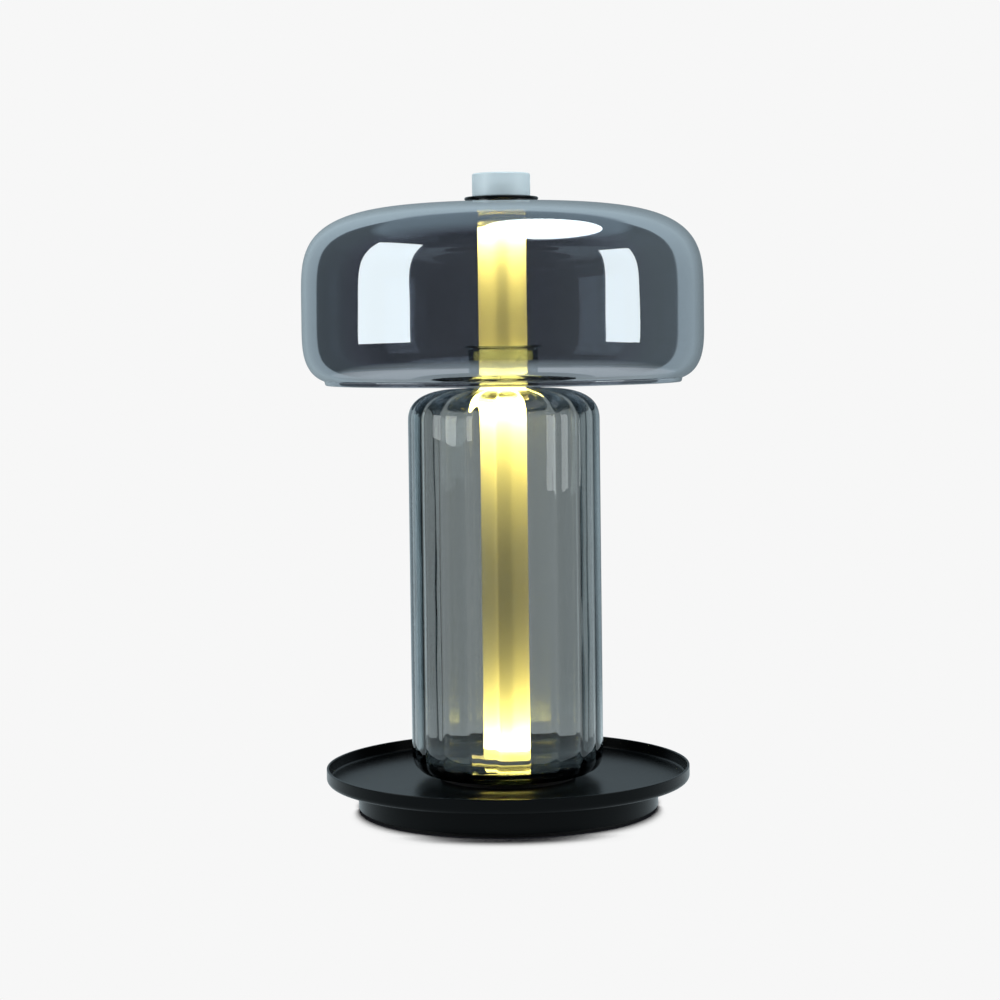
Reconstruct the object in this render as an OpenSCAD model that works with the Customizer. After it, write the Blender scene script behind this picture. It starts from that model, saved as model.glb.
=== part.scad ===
// Table lamp: a glowing tube stands in a ribbed glass body on a dished metal base, and a smoked
// glass shade hangs on the tube under a screwed cap. The origin is on the floor, under the centre,
// with +Z up. The lamp faces -Y and its cable leaves at +Y. Sizes are in millimetres.

/* [Foot and plinth] */
// Height of the rubber ring under the lamp
foot_h = 2.5; // [1.5:0.1:5]
// Gap between the rubber ring and the plinth's wall
foot_gap = 1.8; // [0.5:0.1:6]
// Width of the rubber ring, measured along the radius
foot_w = 12; // [6:0.5:20]
// Outer diameter of the plinth
plinth_d = 186.6; // [170:0.2:200]
// Height of the plinth's own shell
plinth_h = 15.5; // [14:0.1:40]
// Sheet thickness of the plinth
plinth_t = 1.5; // [1:0.1:2.5]
// Radius of the plinth's upper edge
plinth_r = 2.5; // [1:0.1:4]
// Thickness of the plate that closes the plinth from below
plate_t = 1.5; // [1:0.1:3]
// Number of screws that hold that plate
screws = 4; // [3:1:6]
// Distance from the plinth's wall to the circle that the screws stand on
screw_inset = 25.8; // [20:0.1:30]
// Diameter of the screws' thread
screw_d = 4; // [3:0.5:5]
// Length of the screws' thread
screw_l = 8; // [5:0.5:9]
// Diameter of the screws' heads
screw_head_d = 7.6; // [6:0.1:9]
// Height of the screws' heads
screw_head_h = 1.8; // [1:0.1:2.2]
// Outer diameter of the bosses that take the screws
boss_d = 9; // [7:0.5:12]

/* [Ballast and driver] */
// Gap between the iron ballast and the plinth's wall
ballast_gap = 7.8; // [4:0.1:12]
// Gap between the ballast and the driver's corners inside it
driver_gap = 1; // [0.5:0.1:3]
// Height of the ballast
ballast_h = 9; // [5:0.5:11]
// Width of the slot that lets the cable through the ballast
ballast_slot_w = 12; // [8:0.5:20]
// Length of the driver, across the lamp
driver_l = 44; // [30:1:50]
// Width of the driver
driver_w = 24; // [15:1:26]
// Height of the driver
driver_h = 9; // [6:0.5:11]
// Distance from the lamp's centre to the driver's nearer side
driver_y = 13; // [11:0.5:16]

/* [Cable inlet] */
// Bore of the rubber grommet that the cable passes through
inlet_d = 6.2; // [4:0.1:7]
// Diameter of the hole in the plinth that holds the grommet
inlet_hole_d = 9.8; // [9:0.1:11]
// Distance by which the grommet's two flanges stand out past that hole
inlet_flange_w = 0.9; // [0.5:0.1:1.1]
// Thickness of each flange
inlet_flange_t = 2; // [1:0.1:3]

/* [Tray] */
// Outer diameter of the tray
tray_d = 226; // [200:1:250]
// Height of the tray from its underside to its rim
tray_h = 9; // [6:0.5:30]
// Sheet thickness of the tray
tray_t = 1.5; // [1:0.1:2]
// Outer radius of the bend between the tray's floor and rim
tray_r = 3; // [2.2:0.1:5]

/* [Body glass] */
// Outer diameter of the ribbed body, over its ribs
body_d = 119.2; // [100:0.2:130]
// Height of the body from its underside to the top of its shoulder
body_h = 238.5; // [160:0.5:300]
// Wall thickness of the body
body_t = 3; // [2:0.1:4]
// Thickness of the body's bottom
body_bottom_t = 4.5; // [3:0.1:8]
// Height of the rounded heel at the bottom
heel_h = 12; // [8:0.5:20]
// Width of the rounded heel, measured along the radius
heel_w = 12.6; // [8:0.2:20]
// Squareness of the heel, where 2 is an ellipse
heel_e = 2.3; // [2:0.1:4]
// Height of the rounded shoulder
shoulder_h = 20.5; // [12:0.5:40]
// Squareness of the shoulder, where 2 is an ellipse
shoulder_e = 2.6; // [2:0.1:4]
// Number of ribs round the body
ribs = 20; // [12:1:24]
// Depth of the grooves between the ribs
rib_depth = 0.8; // [0.3:0.1:1.5]
// Angle from the front to the nearest groove
rib_turn = -4.8; // [-9:0.1:9]
// Distance along the radius over which the ribs fade in from the neck
rib_fade = 16; // [8:1:30]
// Outer diameter of the neck
neck_d = 43; // [40:0.2:50]
// Height of the neck above the shoulder
neck_h = 26.5; // [20:0.5:40]
// Radius of the fillet between shoulder and neck
neck_fillet = 3; // [1:0.1:5]
// Distance by which the lip stands out from the neck
lip_w = 2.5; // [1.8:0.1:5]
// Thickness of the lip
lip_t = 1.6; // [1:0.1:3]
// Thickness of the rubber pad under the body
pad_t = 3.5; // [1:0.1:5]
// Diameter of the rubber pad under the body
pad_d = 84; // [60:1:90]
// Thickness of the soft seals above the body's bottom and under the shade
seal_t = 1; // [0.5:0.1:2]
// Height of the soft ring that centres the tube in the neck
neck_ring_h = 6; // [3:0.5:10]
// Distance from the lip down to that ring
neck_ring_drop = 4; // [2:0.5:10]

/* [Glowing tube] */
// Outer diameter of the frosted tube
tube_d = 30; // [28:0.5:33]
// Wall thickness of the frosted tube
tube_t = 2; // [1.5:0.1:3]
// Length of the frosted tube
tube_l = 338.5; // [325:0.5:420]
// Distance by which the lower holder's flange stands out from the tube
flange_w = 1.5; // [0.5:0.1:3]
// Thickness of the lower holder's flange
flange_t = 3; // [2:0.1:5]
// Depth to which the lower holder reaches into the tube
spigot_h = 3.5; // [2:0.1:10]
// Diameter of the holder's pilot, in the hole of the body's bottom
pilot_d = 21; // [16:0.5:24]
// Depth of the pilot below the flange
pilot_h = 4; // [2:0.1:5]
// Thickness of the upper holder's flange
top_flange_t = 2; // [1.5:0.1:4]
// Depth to which the upper holder reaches into the tube
top_spigot_h = 3.8; // [3:0.1:8]
// Height of the middle holder
hub_h = 8; // [5:0.5:14]
// Height of the middle holder's underside above the body's shoulder
hub_rise = 9.5; // [2:0.5:18]
// Thickness of the lamp boards
board_t = 1; // [0.8:0.1:2]
// Number of light sources on each board
chips = 6; // [3:1:8]
// Side of each light source
chip_w = 3; // [2:0.1:3.5]
// Height of each light source
chip_h = 0.7; // [0.4:0.1:1.2]
// Radius of the circle that the light sources stand on
chip_circle_r = 8.6; // [7:0.1:9.5]

/* [Stem] */
// Outer diameter of the threaded stem
stem_d = 8; // [6:0.5:9]
// Bore of the stem, where the wires run
stem_bore_d = 5; // [4:0.1:5.5]
// Length of the stem below the lower nut
stem_tail = 2; // [1:0.5:2.5]
// Width across the flats of the stem's nuts
nut_w = 13; // [11.5:0.5:14]
// Height of the lower nut
nut_h = 5; // [3:0.1:5.5]
// Height of the thin nut on the upper holder
thin_nut_h = 3; // [2:0.1:3.2]
// Diameter of the flat washer over the lower nut
washer_d = 18; // [15:0.5:24]
// Thickness of that washer
washer_t = 1.2; // [0.8:0.1:1.5]
// Diameter of each wire
wire_d = 1.4; // [1:0.1:1.6]
// Distance between the centre lines of the two wires
wire_pitch = 2.3; // [1.8:0.1:2.6]
// Radius at which the wires turn towards the driver
wire_bend_r = 2.5; // [2:0.1:3]
// Diameter of the stem's side holes, where wires leave for the boards
wire_hole_d = 2.4; // [1.6:0.1:3]
// Distance from each board to its side hole in the stem
wire_hole_gap = 3; // [2:0.5:6]

/* [Shade] */
// Outer diameter of the shade
shade_d = 249; // [220:1:280]
// Height of the shade from its rim to its top
shade_h = 111.4; // [100:0.2:150]
// Wall thickness of the shade
shade_t = 3; // [2:0.1:4]
// Height of the upright part between the dome and the turned-in lower part
side_h = 14; // [4:0.5:30]
// Squareness of the dome, where 2 is an ellipse
crown_e = 3.75; // [2:0.05:5]
// Height of the lower part, over which the wall turns in to the rim
tuck_h = 35.4; // [20:0.2:50]
// Width of the turned-in part, measured along the radius
tuck_w = 28.5; // [20:0.5:40]
// Squareness of the turned-in part, where 2 is an ellipse
tuck_e = 3; // [2:0.1:4]
// Distance by which the rim lies inside the upright part
rim_in = 13.7; // [8:0.1:18]
// Height of the straight lip at the rim
rim_h = 2.6; // [1:0.1:6]
// Radius of the shade's fire-polished edges
polish_r = 1.2; // [0.5:0.1:1.4]
// Distance by which the shade's flat seat reaches past the soft pad on it
seat_w = 3; // [1:0.5:8]
// Diameter of the hole in the shade's top
shade_hole_d = 10.5; // [9.5:0.1:14]

/* [Cap] */
// Outer diameter of the frosted cap
cap_d = 36; // [28:0.5:40]
// Height of the frosted cap
cap_h = 14.5; // [12:0.1:25]
// Radius of the cap's edges
cap_r = 1; // [0.4:0.1:3]
// Outer diameter of the threaded bushing in the cap
bushing_d = 11; // [10.5:0.1:12]
// Height of the bushing inside the cap
bushing_h = 8; // [7:0.1:10]
// Diameter of the bushing's lower flange
bushing_flange_d = 15; // [14:0.1:16]
// Thickness of that flange
bushing_flange_t = 0.9; // [0.5:0.1:1.1]
// Outer diameter of the clamp ring under the cap
ring_d = 45.8; // [40:0.2:52]
// Thickness of the clamp ring
ring_t = 2; // [1.5:0.1:3]
// Diameter of the soft pad between the clamp ring and the shade
top_pad_d = 40; // [30:1:44]
// Gap between that soft pad and the bushing's flange
top_pad_gap = 1; // [0.5:0.1:2]
// Thickness of that soft pad
top_pad_t = 2; // [1.6:0.1:3]
// Height to which the stem reaches into the cap
stem_reach = 6; // [4:0.1:7]

/* [Fits] */
// Gap between pieces that are put together once
slip = 0.1; // [0.05:0.01:0.2]
// Gap between pieces that move past each other
play = 0.3; // [0.2:0.05:0.5]
// Gap between the lamp boards and the tube
board_gap = 0.5; // [0.2:0.1:1]

/* [Hidden] */
$fn = 96;
// Distance that a cutting shape runs past the faces that it cuts
over = 1;

// Levels, from the floor up
z_plate = foot_h;
z_inside = z_plate + plate_t;
z_plinth_top = z_plate + plinth_h;
z_roof = z_plinth_top - plinth_t;
z_tray_floor = z_plinth_top + tray_t;
z_body = z_tray_floor + pad_t;
z_body_floor = z_body + body_bottom_t;
z_flange = z_body_floor + seal_t;
z_tube = z_flange + flange_t;
z_shoulder = z_body + body_h;
z_lip = z_shoulder + neck_h;
z_hub = z_shoulder + hub_rise;
z_tube_top = z_tube + tube_l;
z_holder_top = z_tube_top + top_flange_t;
z_shade_roof = z_holder_top + seal_t;
z_shade_top = z_shade_roof + shade_t;
z_shade_rim = z_shade_top - shade_h;
z_ring = z_shade_top + top_pad_t;
z_cap = z_ring + ring_t;
z_cap_top = z_cap + cap_h;
z_stem_top = z_cap + stem_reach;
z_washer = z_roof - washer_t;
z_nut = z_washer - nut_h;
z_stem = z_nut - stem_tail;
z_inlet = (z_inside + z_roof) / 2;

// Radii that several pieces share
plinth_in_r = plinth_d / 2 - plinth_t;
foot_r = plinth_in_r - foot_gap;
screw_circle_r = plinth_in_r - screw_inset;
ballast_r = plinth_in_r - ballast_gap;
ballast_bore_r = norm([driver_l / 2, driver_y + driver_w]) + driver_gap;
tube_in_r = tube_d / 2 - tube_t;
stem_hole_r = stem_d / 2 + slip;
neck_r = neck_d / 2;
neck_in_r = neck_r - body_t;
flange_r = tube_d / 2 + flange_w;
body_hole_r = pilot_d / 2 + play;
thin_nut_seat = z_holder_top - thin_nut_h - play;
nut_recess_r = nut_w / cos(30) / 2 + 2 * play;

// Points on a quarter of a squared ellipse, from the angle a0 to the angle a1
function squircle(r0, r1, z0, z1, e, a0, a1, n) = [
    for (i = [0:n])
        let (a = a0 + (a1 - a0) * i / n)
        [r0 + (r1 - r0) * pow(max(cos(a), 0), 2 / e), z0 + (z1 - z0) * pow(max(sin(a), 0), 2 / e)]
];

// Points on an arc round the centre c
function arc(c, r, a0, a1, n) = [
    for (i = [0:n])
        let (a = a0 + (a1 - a0) * i / n)
        [c[0] + r * cos(a), c[1] + r * sin(a)]
];

// A flat disc with a hole
module disc(r, hole_r, h) {
    difference() {
        cylinder(r = r, h = h);
        translate([0, 0, -over]) cylinder(r = hole_r, h = h + 2 * over);
    }
}

// Copies placed evenly round the lamp's axis
module round_axis(count, r) {
    for (i = [0:count - 1])
        rotate([0, 0, (i + 0.5) * 360 / count]) translate([r, 0, 0]) children();
}

module foot_ring() {
    color("#17181a")
        disc(foot_r, foot_r - foot_w, foot_h);
}

module base_plate() {
    color("#2b2d2f")
        translate([0, 0, z_plate]) difference() {
            cylinder(r = plinth_in_r - slip, h = plate_t);
            round_axis(screws, screw_circle_r)
                translate([0, 0, -over])
                    cylinder(d = screw_d + 2 * play, h = plate_t + 2 * over, $fn = 32);
        }
}

module plate_screws() {
    color("#9a9da0")
        round_axis(screws, screw_circle_r) {
            translate([0, 0, z_plate - screw_head_h])
                cylinder(d = screw_head_d, h = screw_head_h, $fn = 32);
            translate([0, 0, z_plate])
                cylinder(d = screw_d - 2 * slip, h = screw_l, $fn = 32);
        }
}

// Spun steel drum with a rounded upper edge, bosses for the screws and a hole for the grommet
module plinth_shell() {
    outer = concat(
        [[0, 0], [plinth_d / 2, 0]],
        arc([plinth_d / 2 - plinth_r, plinth_h - plinth_r], plinth_r, 0, 90, 6),
        [[0, plinth_h]]);
    inner_r = max(plinth_r - plinth_t, 0.2);
    inner = concat(
        [[0, -over], [plinth_in_r, -over]],
        arc([plinth_in_r - inner_r, plinth_h - plinth_t - inner_r], inner_r, 0, 90, 4),
        [[0, plinth_h - plinth_t]]);
    weld = plinth_t / 3;
    inlet_cut = 10;
    color("#101417")
        difference() {
            union() {
                translate([0, 0, z_plate]) difference() {
                    rotate_extrude($fn = 160) polygon(outer);
                    rotate_extrude($fn = 160) polygon(inner);
                }
                round_axis(screws, screw_circle_r)
                    translate([0, 0, z_inside]) cylinder(d = boss_d, h = z_roof - z_inside + weld);
            }
            round_axis(screws, screw_circle_r)
                translate([0, 0, z_inside - over])
                    cylinder(d = screw_d, h = screw_l + over, $fn = 32);
            translate([0, 0, z_roof - over]) cylinder(r = stem_hole_r, h = plinth_t + 2 * over);
            translate([0, plinth_in_r - inlet_cut / 2, z_inlet])
                rotate([-90, 0, 0]) cylinder(d = inlet_hole_d, h = inlet_cut, $fn = 48);
        }
}

// Rubber grommet, turned about the cable's own axis. The wall that it sits in is curved, so its
// groove is longer than the wall is thick.
module cable_grommet() {
    r_flange = inlet_hole_d / 2 + inlet_flange_w;
    r_groove = inlet_hole_d / 2 - slip;
    y_in = sqrt(pow(plinth_in_r, 2) - pow(r_flange, 2)) - slip;
    y_out = plinth_d / 2 + slip;
    profile = [
        [inlet_d / 2, y_in - inlet_flange_t], [r_flange, y_in - inlet_flange_t], [r_flange, y_in],
        [r_groove, y_in], [r_groove, y_out], [r_flange, y_out],
        [r_flange, y_out + inlet_flange_t], [inlet_d / 2, y_out + inlet_flange_t]
    ];
    color("#1b1c1e")
        translate([0, 0, z_inlet]) rotate([-90, 0, 0]) rotate_extrude($fn = 48) polygon(profile);
}

module ballast_ring() {
    color("#4b4b4a")
        translate([0, 0, z_inside]) difference() {
            disc(ballast_r, ballast_bore_r, ballast_h);
            round_axis(screws, screw_circle_r)
                translate([0, 0, -over])
                    cylinder(d = boss_d + 4 * play, h = ballast_h + 2 * over, $fn = 48);
            translate([-ballast_slot_w / 2, 0, -over])
                cube([ballast_slot_w, ballast_r + over, ballast_h + 2 * over]);
        }
}

module led_driver() {
    corner_r = 2;
    color("#e4e4e0")
        translate([0, -driver_y - driver_w / 2, z_inside])
            linear_extrude(driver_h) difference() {
                square([driver_l, driver_w], center = true);
                for (x = [-1, 1], y = [-1, 1])
                    translate([x * driver_l / 2, y * driver_w / 2]) difference() {
                        square(2 * corner_r, center = true);
                        translate([-x * corner_r, -y * corner_r]) circle(corner_r, $fn = 32);
                    }
            }
}

// Two wires from the driver, round a bend and up the stem to the upper board
module wiring() {
    z_low = z_inside + wire_d / 2 + play;
    z_turn = z_low + wire_bend_r;
    z_end = z_tube_top - top_spigot_h;
    color("#b8352c")
        for (x = [-1, 1] * wire_pitch / 2) translate([x, 0, 0]) {
            translate([0, 0, z_turn]) cylinder(d = wire_d, h = z_end - z_turn, $fn = 24);
            translate([0, -wire_bend_r, z_turn]) rotate([0, 90, 0])
                rotate_extrude(angle = 90, $fn = 48)
                    translate([wire_bend_r, 0]) circle(d = wire_d, $fn = 24);
            translate([0, -driver_y, z_low]) rotate([-90, 0, 0])
                cylinder(d = wire_d, h = driver_y - wire_bend_r, $fn = 24);
        }
}

// A hexagon nut on the stem
module hex_nut(h) {
    difference() {
        cylinder(d = nut_w / cos(30), h = h, $fn = 6);
        translate([0, 0, -over]) cylinder(r = stem_hole_r, h = h + 2 * over);
    }
}

module stem_nut() {
    color("#b9b7ae") translate([0, 0, z_nut]) hex_nut(nut_h);
}

module stem_washer() {
    color("#b9b7ae") translate([0, 0, z_washer]) disc(washer_d / 2, stem_hole_r, washer_t);
}

// Threaded pipe that clamps the whole lamp together, with a side hole for the wires at each board
module threaded_stem() {
    length = z_stem_top - z_stem;
    side_holes = [
        z_tube + spigot_h + board_t + wire_hole_gap,
        z_hub - board_t - wire_hole_gap,
        z_tube_top - top_spigot_h - board_t - wire_hole_gap
    ];
    color("#c9c7bd")
        difference() {
            translate([0, 0, z_stem]) cylinder(d = stem_d, h = length);
            translate([0, 0, z_stem - over]) cylinder(d = stem_bore_d, h = length + 2 * over);
            for (z = side_holes)
                translate([0, 0, z]) rotate([-90, 0, 0])
                    cylinder(d = wire_hole_d, h = stem_d, $fn = 32);
        }
}

// Spun dish: flat floor, rounded bend and a thin upright rim
module tray() {
    r = tray_d / 2;
    bend_in = tray_r - tray_t;
    edge = 0.4;
    profile = concat(
        [[0, 0]],
        arc([r - tray_r, tray_r], tray_r, -90, 0, 6),
        arc([r - edge, tray_h - edge], edge, 0, 90, 2),
        arc([r - tray_t + edge, tray_h - edge], edge, 90, 180, 2),
        arc([r - tray_r, tray_r], bend_in, 0, -90, 5),
        [[0, tray_t]]);
    color("#1a2023")
        translate([0, 0, z_plinth_top]) difference() {
            rotate_extrude($fn = 180) polygon(profile);
            translate([0, 0, -over]) cylinder(r = stem_hole_r, h = tray_t + 2 * over);
        }
}

module body_pad() {
    color("#0e0f10") translate([0, 0, z_tray_floor]) disc(pad_d / 2, body_hole_r, pad_t);
}

// Depth of the ribs at the radius r, from nothing at the neck to full on the wall
function rib_share(r) = min(1, max(0, (r - neck_r) / rib_fade));

// Groove between two ribs: 1 in the groove and 0 on the crest
function groove(a) = 1 - abs(sin(ribs * (a + 90 - rib_turn) / 2));

// Outer side of the blown body: rounded ribs that run from the bottom over the heel and the
// shoulder and fade at the neck
module ribbed_solid() {
    r = body_d / 2;
    edge = lip_t / 2;
    r_lip = neck_r + lip_w - edge;
    flare = r_lip - neck_r;
    profile = concat(
        squircle(r - heel_w, r, z_body + heel_h, z_body, heel_e, 90, 0, 4),
        squircle(neck_r + neck_fillet, r, z_shoulder - shoulder_h, z_shoulder, shoulder_e, 0, 90, 6),
        arc([neck_r + neck_fillet, z_shoulder + neck_fillet], neck_fillet, -120, -180, 2),
        arc([r_lip, z_lip - lip_t - flare], flare, 180, 100, 2),
        arc([r_lip, z_lip - edge], edge, -30, 90, 2));
    rings = len(profile);
    steps = 6 * ribs;
    first = -90 + rib_turn;
    points = [
        for (i = [0:rings - 1], k = [0:steps - 1])
            let (a = first + 360 * k / steps)
            let (q = profile[i][0] - rib_depth * rib_share(profile[i][0]) * groove(a))
            [q * cos(a), q * sin(a), profile[i][1]]
    ];
    sides = [
        for (i = [0:rings - 2], k = [0:steps - 1])
            let (m = (k + 1) % steps)
            let (a = i * steps + k, b = a + steps, c = (i + 1) * steps + m, d = i * steps + m)
            each [[a, b, c], [a, c, d]]
    ];
    bottom = [for (k = [0:steps - 1]) k];
    top = [for (k = [0:steps - 1]) rings * steps - 1 - k];
    polyhedron(points, concat(sides, [bottom, top]), convexity = 10);
}

// Blown glass body: ribbed outside, smooth inside, with a hole in its bottom for the holder
module body_glass() {
    r_in = body_d / 2 - body_t;
    heel_in = heel_w - body_t;
    bevel = 0.6;
    inner = concat(
        [[0, z_body - over], [body_hole_r, z_body - over], [body_hole_r, z_body_floor]],
        squircle(r_in - heel_in, r_in, z_body_floor + heel_in, z_body_floor, heel_e, 90, 0, 6),
        squircle(neck_in_r + neck_fillet, r_in, z_shoulder - shoulder_h, z_shoulder - body_t,
            shoulder_e, 0, 90, 10),
        arc([neck_in_r + neck_fillet, z_shoulder - body_t + neck_fillet], neck_fillet, -120, -180, 2),
        [[neck_in_r, z_lip - bevel], [neck_in_r + bevel, z_lip]],
        [[neck_in_r + bevel, z_lip + over], [0, z_lip + over]]);
    color("#71787a", 0.45)
        difference() {
            ribbed_solid();
            rotate_extrude($fn = 120) polygon(inner);
        }
}

module body_seal() {
    color("#e8e8e6", 0.7)
        translate([0, 0, z_body_floor]) disc(flange_r, body_hole_r, seal_t);
}

// Turned aluminium holder: pilot in the glass, flange under the tube and spigot inside it
module lower_holder() {
    color("#b4b7ba")
        difference() {
            union() {
                translate([0, 0, z_flange - pilot_h]) cylinder(d = pilot_d, h = pilot_h);
                translate([0, 0, z_flange]) cylinder(r = flange_r, h = flange_t);
                translate([0, 0, z_tube]) cylinder(r = tube_in_r - slip, h = spigot_h);
            }
            translate([0, 0, z_flange - pilot_h - over])
                cylinder(r = stem_hole_r, h = pilot_h + flange_t + spigot_h + 2 * over);
        }
}

// Round board with its light sources in a ring on the upper face
module lamp_board() {
    disc(tube_in_r - board_gap, stem_hole_r + play, board_t);
    for (i = [0:chips - 1])
        rotate([0, 0, i * 360 / chips])
            translate([chip_circle_r - chip_w / 2, -chip_w / 2, board_t / 2])
                cube([chip_w, chip_w, board_t / 2 + chip_h]);
}

module lower_led_board() {
    color("#f2f1ea") translate([0, 0, z_tube + spigot_h]) lamp_board();
}

module frosted_tube() {
    color("#f3e2a2", 0.8)
        translate([0, 0, z_tube]) disc(tube_d / 2, tube_in_r, tube_l);
}

// Soft clear ring that keeps the neck centred on the tube
module neck_ring() {
    color("#d9dcdc", 0.6)
        translate([0, 0, z_lip - neck_ring_drop - neck_ring_h])
            disc(neck_in_r - slip, tube_d / 2 + slip, neck_ring_h);
}

module middle_holder() {
    color("#b4b7ba")
        translate([0, 0, z_hub]) disc(tube_in_r - slip, stem_hole_r, hub_h);
}

module middle_led_board() {
    color("#f2f1ea") translate([0, 0, z_hub]) mirror([0, 0, 1]) lamp_board();
}

// Turned aluminium holder on top of the tube, with a recess that hides its nut
module upper_holder() {
    color("#b4b7ba")
        difference() {
            union() {
                translate([0, 0, z_tube_top - top_spigot_h])
                    cylinder(r = tube_in_r - slip, h = top_spigot_h);
                translate([0, 0, z_tube_top]) cylinder(d = tube_d, h = top_flange_t);
            }
            translate([0, 0, z_tube_top - top_spigot_h - over])
                cylinder(r = stem_hole_r, h = top_spigot_h + top_flange_t + 2 * over);
            translate([0, 0, thin_nut_seat])
                cylinder(r = nut_recess_r, h = thin_nut_h + top_flange_t);
        }
}

module upper_led_board() {
    color("#f2f1ea")
        translate([0, 0, z_tube_top - top_spigot_h]) mirror([0, 0, 1]) lamp_board();
}

module upper_nut() {
    color("#b9b7ae") translate([0, 0, thin_nut_seat]) hex_nut(thin_nut_h);
}

module shade_seal() {
    color("#e8e8e6", 0.7)
        translate([0, 0, z_holder_top])
            disc(tube_d / 2 - play, nut_recess_r, seal_t);
}

// Blown glass shade: a flat seat, a flattened dome, an upright side, a turned-in lower part and a
// straight lip. The inner side is the outer one moved in by the wall.
module shade_glass() {
    r = shade_d / 2;
    r_rim = r - rim_in;
    r_seat = top_pad_d / 2 + seat_w;
    z_side = z_shade_rim + tuck_h;
    a_rim = acos(pow((tuck_w - rim_in) / tuck_w, tuck_e / 2));
    drop = (tuck_h - rim_h) / pow(sin(a_rim), 2 / tuck_e);
    dome = squircle(0, r, z_side + side_h, z_shade_top, crown_e, 90, 0, 16);
    side = concat(
        [[r_seat, z_shade_top]],
        [for (p = dome) if (p[0] > r_seat + polish_r) p],
        squircle(r - tuck_w, r, z_side, z_side - drop, tuck_e, 0, a_rim, 8));
    past = 3 * shade_t;
    outer = concat([[0, z_shade_top]], side, [[r_rim, z_shade_rim], [0, z_shade_rim]]);
    inner = concat(
        [[-past, z_shade_top]], side, [[r_rim, z_shade_rim - past], [-past, z_shade_rim - past]]);
    color("#3c434b", 0.6)
        rotate_extrude($fn = 180)
            offset(r = polish_r, $fn = 16) offset(delta = -polish_r)
                difference() {
                    polygon(outer);
                    offset(delta = -shade_t) polygon(inner);
                    translate([-past, z_shade_rim - past])
                        square([past + shade_hole_d / 2, shade_h + 2 * past]);
                }
}

module shade_pad() {
    color("#e8e8e6", 0.7)
        translate([0, 0, z_shade_top])
            disc(top_pad_d / 2, bushing_flange_d / 2 + top_pad_gap, top_pad_t);
}

// Black steel washer with a rounded edge, held loosely on the bushing
module clamp_ring() {
    edge = ring_t / 2;
    profile = concat(
        [[bushing_d / 2 + play, 0]],
        arc([ring_d / 2 - edge, edge], edge, -90, 90, 8),
        [[bushing_d / 2 + play, ring_t]]);
    color("#0b0c0d") translate([0, 0, z_ring]) rotate_extrude() polygon(profile);
}

// Threaded bushing: its flange keeps the clamp ring on, and its upper part sits in the cap
module cap_bushing() {
    z_low = z_ring - slip - bushing_flange_t;
    color("#b59a57")
        difference() {
            union() {
                translate([0, 0, z_low]) cylinder(d = bushing_flange_d, h = bushing_flange_t);
                translate([0, 0, z_low]) cylinder(d = bushing_d, h = z_cap + bushing_h - z_low);
            }
            translate([0, 0, z_low - over])
                cylinder(r = stem_hole_r, h = z_cap + bushing_h - z_low + 2 * over);
        }
}

module frosted_cap() {
    r = cap_d / 2;
    socket_r = bushing_d / 2 + slip;
    socket_h = bushing_h + slip;
    profile = concat(
        [[0, socket_h], [socket_r, socket_h], [socket_r, 0]],
        arc([r - cap_r, cap_r], cap_r, -90, 0, 4),
        arc([r - cap_r, cap_h - cap_r], cap_r, 0, 90, 4),
        [[0, cap_h]]);
    color("#c3d0d6", 0.85) translate([0, 0, z_cap]) rotate_extrude() polygon(profile);
}

foot_ring();
base_plate();
plate_screws();
plinth_shell();
cable_grommet();
ballast_ring();
led_driver();
wiring();
stem_nut();
stem_washer();
threaded_stem();
tray();
body_pad();
body_glass();
body_seal();
lower_holder();
lower_led_board();
frosted_tube();
neck_ring();
middle_holder();
middle_led_board();
upper_holder();
upper_led_board();
upper_nut();
shade_seal();
shade_glass();
shade_pad();
clamp_ring();
cap_bushing();
frosted_cap();
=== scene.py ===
# Glass table lamp: a glowing tube in a ribbed glass body, on a dished black tray, under a smoked
# shade. The origin is on the floor under the centre, and the lamp faces -Y. Places, lights and
# meshes are in metres. Profiles, and the sizes that they are made from, are in millimetres.
import math

import bmesh
import bpy
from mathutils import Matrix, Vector


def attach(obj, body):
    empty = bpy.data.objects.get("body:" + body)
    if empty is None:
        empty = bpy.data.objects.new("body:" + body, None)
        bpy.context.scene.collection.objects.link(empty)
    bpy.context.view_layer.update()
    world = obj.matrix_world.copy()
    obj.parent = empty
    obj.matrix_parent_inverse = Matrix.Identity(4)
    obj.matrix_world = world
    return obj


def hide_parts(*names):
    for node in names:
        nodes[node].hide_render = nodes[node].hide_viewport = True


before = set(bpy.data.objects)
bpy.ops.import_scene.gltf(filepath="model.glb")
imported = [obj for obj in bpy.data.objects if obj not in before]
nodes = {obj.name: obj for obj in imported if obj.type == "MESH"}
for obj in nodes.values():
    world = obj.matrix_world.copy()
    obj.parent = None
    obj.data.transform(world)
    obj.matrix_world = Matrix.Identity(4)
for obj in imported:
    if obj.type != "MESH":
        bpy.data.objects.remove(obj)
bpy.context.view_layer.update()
scene = bpy.context.scene
scene.view_settings.view_transform = "Standard"

# Camera: at the height of the shade and almost level, 1.45 m in front of the lamp. It leans by 0.7
# of a degree, as the photograph does, and its small shift brings the whole lamp into view.
tilt = 88.061
lean = 0.7
camera_data = bpy.data.cameras.new("camera")
camera_data.lens = 84.07
camera_data.sensor_width = 36
camera_data.shift_x = -0.00285
camera_data.shift_y = -0.09
camera = bpy.data.objects.new("camera", camera_data)
camera.location = (0, -1.45, 0.2971)
camera.rotation_euler = (math.radians(tilt), math.radians(lean), 0)
scene.collection.objects.link(camera)
scene.camera = camera


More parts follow.
